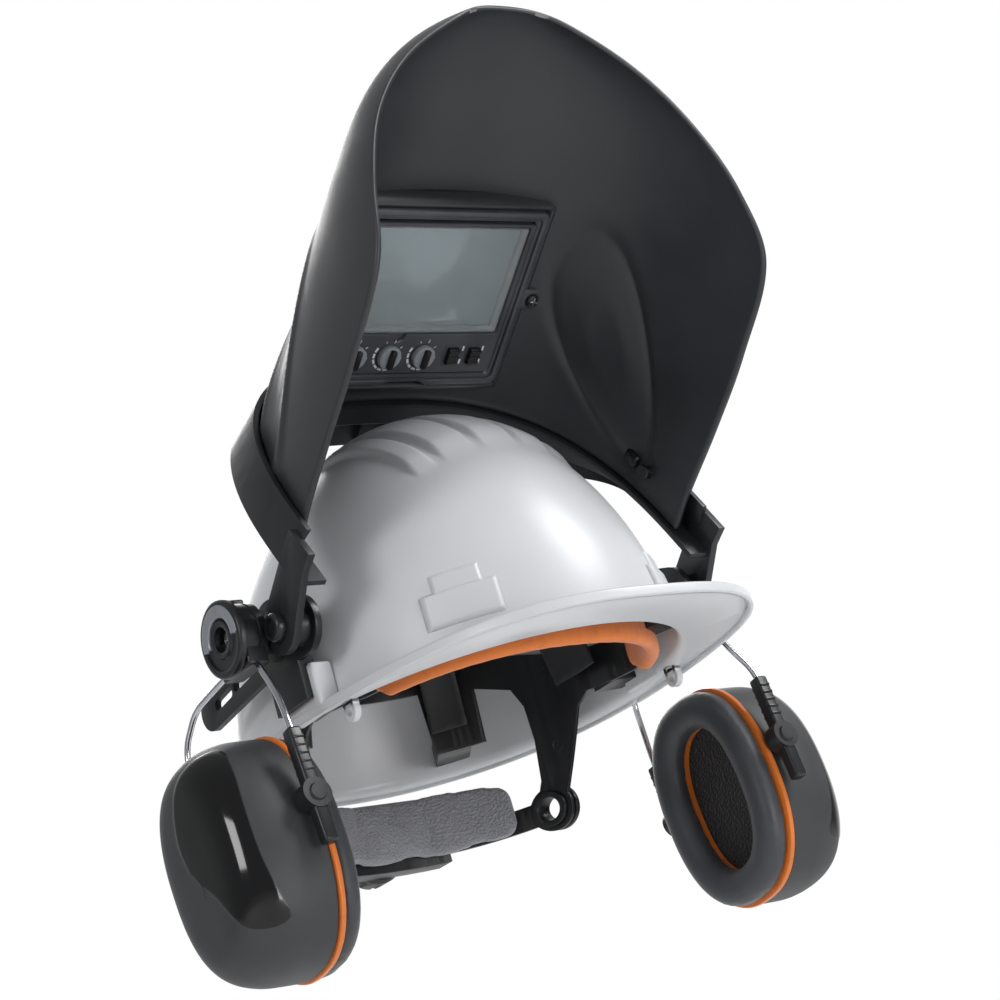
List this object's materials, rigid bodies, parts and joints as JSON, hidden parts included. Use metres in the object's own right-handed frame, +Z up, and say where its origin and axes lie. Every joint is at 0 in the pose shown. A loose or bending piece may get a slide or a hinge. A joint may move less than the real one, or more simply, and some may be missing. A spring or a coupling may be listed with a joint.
{
  "type": "welding safety helmet",
  "caption": "Hard hat with a flip-up welding shield, auto-darkening filter, swing-out ear muffs on wire bows and a ratchet nape strap.",
  "frame": {"origin": "middle of the head opening, level with the shell's rim", "axes": "+Z up as worn, -Y the way the wearer faces, +X the wearer's left"},
  "size_m": [0.3586, 0.3211, 0.4109],
  "materials": {
    "shell_white": "glossy moulded shell",
    "harness_black": "fine-grained moulding",
    "sweatband_orange": "soft sweatband",
    "pad_grey": "textured foam pad",
    "mount_black": "satin moulding",
    "cap_grey": "satin moulding",
    "screw_steel": "blackened steel",
    "wire_steel": "bright spring wire",
    "cup_matte": "fine matte",
    "cup_gloss": "high gloss",
    "ring_orange": "satin",
    "cushion_skin": "soft foil skin over foam",
    "ear_foam": "open foam",
    "shield_black": "grained moulding",
    "frame_black": "satin moulding",
    "filter_dark": "dark filter glass",
    "lens_clear": "clear",
    "board_green": "printed board",
    "battery_steel": "coin cells",
    "solar_blue": "solar cell",
    "control_grey": "satin with a pale face",
    "key_black": "satin"
  },
  "bodies": {
    "helmet": {"shell": "shell_white", "crown_cradle": "harness_black", "headband": "harness_black", "sweatband": "sweatband_orange", "cradle_clip_front_l": "harness_black", "cradle_clip_front_r": "harness_black", "cradle_clip_side_l": "harness_black", "cradle_clip_side_r": "harness_black", "cradle_clip_rear_l": "harness_black", "cradle_clip_rear_r": "harness_black", "muff_mount_l": "mount_black", "muff_mount_r": "mount_black", "hub_screw_l": "screw_steel", "hub_screw_r": "screw_steel"},
    "nape": {"nape_strap_l": "harness_black", "nape_strap_r": "harness_black", "nape_pad": "pad_grey", "ratchet_housing": "harness_black"},
    "nape_knob": {"ratchet_knob": "harness_black"},
    "visor": {"carrier_yoke": "mount_black", "hinge_cap_l": "mount_black", "hinge_cap_r": "mount_black", "shield_shell": "shield_black", "cartridge_frame": "frame_black", "frame_screws": "screw_steel", "cartridge_body": "frame_black", "filter_glass": "filter_dark", "inner_lens": "lens_clear", "outer_lens": "lens_clear", "circuit_board": "board_green", "batteries": "battery_steel", "solar_cell": "solar_blue", "arc_sensors": "lens_clear"},
    "dial_shade": {"knob_shade": "control_grey"},
    "dial_sensitivity": {"knob_sensitivity": "control_grey"},
    "dial_delay": {"knob_delay": "control_grey"},
    "key_mode": {"switch_mode": "key_black"},
    "key_range": {"switch_range": "key_black"},
    "hub_l": {"hub_housing_l": "mount_black", "hub_cap_l": "cap_grey"},
    "bow_l": {"bow_wire_l": "wire_steel"},
    "slide_l": {"slider_front_l": "mount_black", "slider_rear_l": "mount_black"},
    "cup_l": {"cup_shell_l": "cup_matte", "cup_panel_l": "cup_gloss", "cup_ring_l": "ring_orange", "ear_cushion_l": "cushion_skin", "ear_foam_l": "ear_foam"},
    "hub_r": {"hub_housing_r": "mount_black", "hub_cap_r": "cap_grey"},
    "bow_r": {"bow_wire_r": "wire_steel"},
    "slide_r": {"slider_front_r": "mount_black", "slider_rear_r": "mount_black"},
    "cup_r": {"cup_shell_r": "cup_matte", "cup_panel_r": "cup_gloss", "cup_ring_r": "ring_orange", "ear_cushion_r": "cushion_skin", "ear_foam_r": "ear_foam"}
  },
  "joints": [
    {"name": "visor_flip", "type": "hinge", "parent": "helmet", "child": "visor", "pos_m": [0, -0.049, 0.036], "axis": [1, 0, 0], "range_deg": [0, 120]},
    {"name": "nape_tilt", "type": "hinge", "parent": "helmet", "child": "nape", "pos_m": [0, 0.0467, -0.0417], "axis": [1, 0, 0], "range_deg": [-4, 4]},
    {"name": "ratchet_turn", "type": "hinge", "parent": "nape", "child": "nape_knob", "pos_m": [0, 0.105, -0.037], "axis": [0, 1, 0], "continuous": true},
    {"name": "hub_swivel_l", "type": "hinge", "parent": "helmet", "child": "hub_l", "pos_m": [0.125, -0.026, 0.04], "axis": [1, 0, 0], "range_deg": [0, 35]},
    {"name": "bow_swing_l", "type": "hinge", "parent": "hub_l", "child": "bow_l", "pos_m": [0.1315, -0.026, 0.0275], "axis": [0, 1, 0], "range_deg": [-12, 7]},
    {"name": "cup_slide_l", "type": "slide", "parent": "bow_l", "child": "slide_l", "axis": [0, 0.1392, 0.9903], "range_m": [-0.014, 0.002]},
    {"name": "cup_tilt_l", "type": "hinge", "parent": "slide_l", "child": "cup_l", "pos_m": [0.138, -0.01675, -0.05509], "axis": [0, 0.9903, -0.1392], "range_deg": [-5, 5]},
    {"name": "hub_swivel_r", "type": "hinge", "parent": "helmet", "child": "hub_r", "pos_m": [-0.125, -0.026, 0.04], "axis": [1, 0, 0], "range_deg": [0, 35]},
    {"name": "bow_swing_r", "type": "hinge", "parent": "hub_r", "child": "bow_r", "pos_m": [-0.1315, -0.026, 0.0275], "axis": [0, -1, 0], "range_deg": [-12, 7]},
    {"name": "cup_slide_r", "type": "slide", "parent": "bow_r", "child": "slide_r", "axis": [0, 0.1392, 0.9903], "range_m": [-0.014, 0.002]},
    {"name": "cup_tilt_r", "type": "hinge", "parent": "slide_r", "child": "cup_r", "pos_m": [-0.138, -0.01675, -0.05509], "axis": [0, 0.9903, -0.1392], "range_deg": [-5, 5]},
    {"name": "turn_shade", "type": "hinge", "parent": "visor", "child": "dial_shade", "pos_m": [-0.035, -0.04013, 0.17546], "axis": [0, -0.5476, -0.8368], "range_deg": [-135, 135]},
    {"name": "turn_sensitivity", "type": "hinge", "parent": "visor", "child": "dial_sensitivity", "pos_m": [-0.0145, -0.04013, 0.17546], "axis": [0, -0.5476, -0.8368], "range_deg": [-135, 135]},
    {"name": "turn_delay", "type": "hinge", "parent": "visor", "child": "dial_delay", "pos_m": [0.006, -0.04013, 0.17546], "axis": [0, -0.5476, -0.8368], "range_deg": [-135, 135]},
    {"name": "press_mode", "type": "slide", "parent": "visor", "child": "key_mode", "axis": [0, 0.8368, -0.5476], "range_m": [-0.002, 0.002]},
    {"name": "press_range", "type": "slide", "parent": "visor", "child": "key_range", "axis": [0, 0.8368, -0.5476], "range_m": [-0.002, 0.002]}
  ]
}
